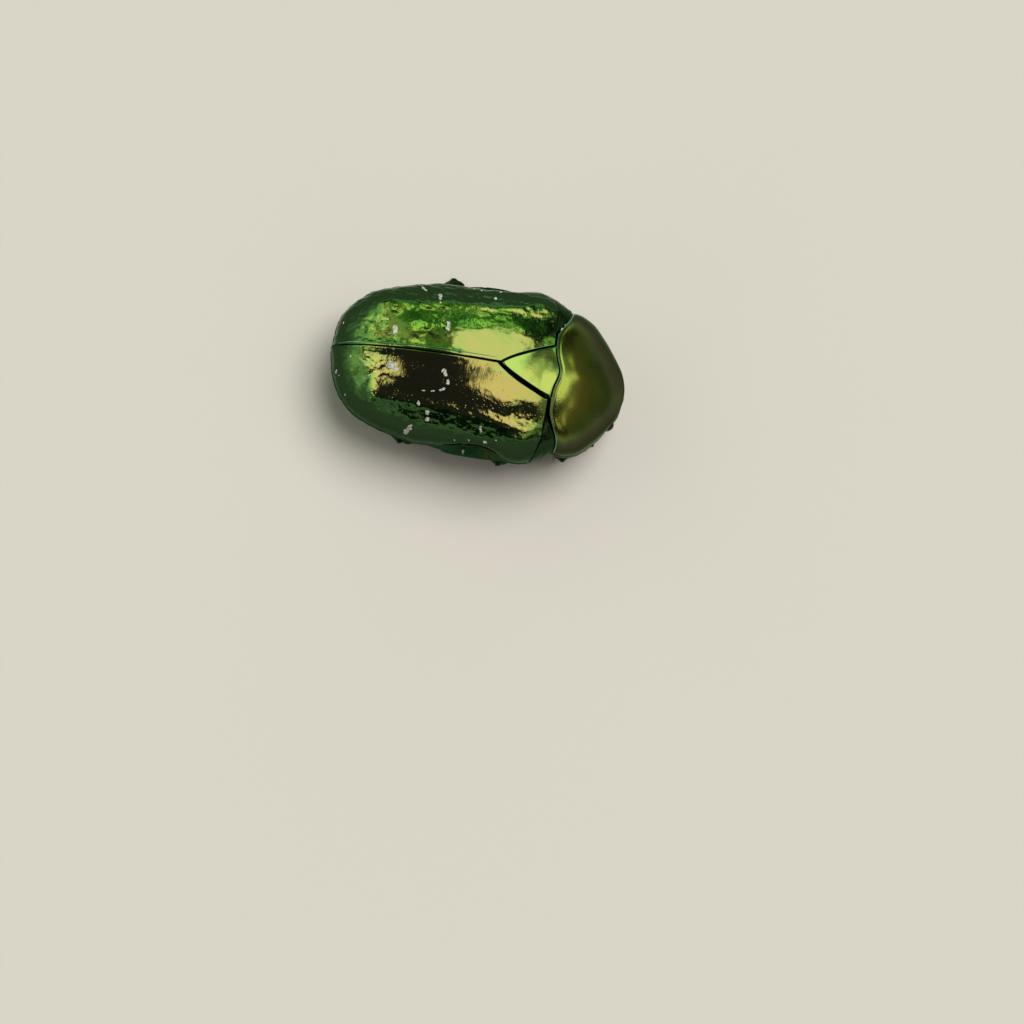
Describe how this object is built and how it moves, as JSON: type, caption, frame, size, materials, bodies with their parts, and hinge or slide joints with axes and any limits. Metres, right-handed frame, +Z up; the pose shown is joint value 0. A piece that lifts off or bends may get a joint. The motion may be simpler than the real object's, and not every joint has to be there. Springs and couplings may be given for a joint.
{
  "type": "flower chafer beetle",
  "caption": "Life-size still model of a metallic green flower chafer at rest on its feet, legs drawn in, wing cases closed and marked with small pale spots.",
  "frame": {"origin": "centre of the part's bounding box, on the floor that the feet stand on", "axes": "+X towards the head, +Y to the beetle's own left, +Z up out of its back"},
  "size_m": [0.0168, 0.0102, 0.0079],
  "materials": {
    "pronotum": "smooth, dark metallic olive green with gold where it faces up",
    "wing_case": "mirror-like metallic green with gold lights, fine punctures and small chalky white marks",
    "scutellum": "very smooth yellow-green metallic",
    "side_plate": "dark metallic green, punctured",
    "underside": "dark metallic green, punctured, with pale bristles and chalky white marks at the sides",
    "head": "dark metallic green, closely punctured",
    "leg": "dark green-black metallic with pale fringes",
    "foot": "black with a green cast, glossy",
    "eye": "dark brown, glossy, fine facets",
    "feeler": "dark brown, half gloss"
  },
  "bodies": {
    "root": {"abdomen": "underside", "antenna_club_left": "feeler", "antenna_club_right": "feeler", "antenna_stem_left": "feeler", "antenna_stem_right": "feeler", "coxa_fore_left": "leg", "coxa_fore_right": "leg", "coxa_hind_left": "leg", "coxa_hind_right": "leg", "coxa_mid_left": "leg", "coxa_mid_right": "leg", "elytron_left": "wing_case", "elytron_right": "wing_case", "eye_left": "eye", "eye_right": "eye", "femur_fore_left": "leg", "femur_fore_right": "leg", "femur_hind_left": "leg", "femur_hind_right": "leg", "femur_mid_left": "leg", "femur_mid_right": "leg", "head": "head", "mesepimeron_left": "side_plate", "mesepimeron_right": "side_plate", "palp_left": "feeler", "palp_right": "feeler", "prothorax": "pronotum", "pterothorax": "underside", "pygidium": "underside", "scutellum": "scutellum", "tarsus_fore_left": "foot", "tarsus_fore_right": "foot", "tarsus_hind_left": "foot", "tarsus_hind_right": "foot", "tarsus_mid_left": "foot", "tarsus_mid_right": "foot", "tibia_fore_left": "leg", "tibia_fore_right": "leg", "tibia_hind_left": "leg", "tibia_hind_right": "leg", "tibia_mid_left": "leg", "tibia_mid_right": "leg"}
  },
  "joints": []
}
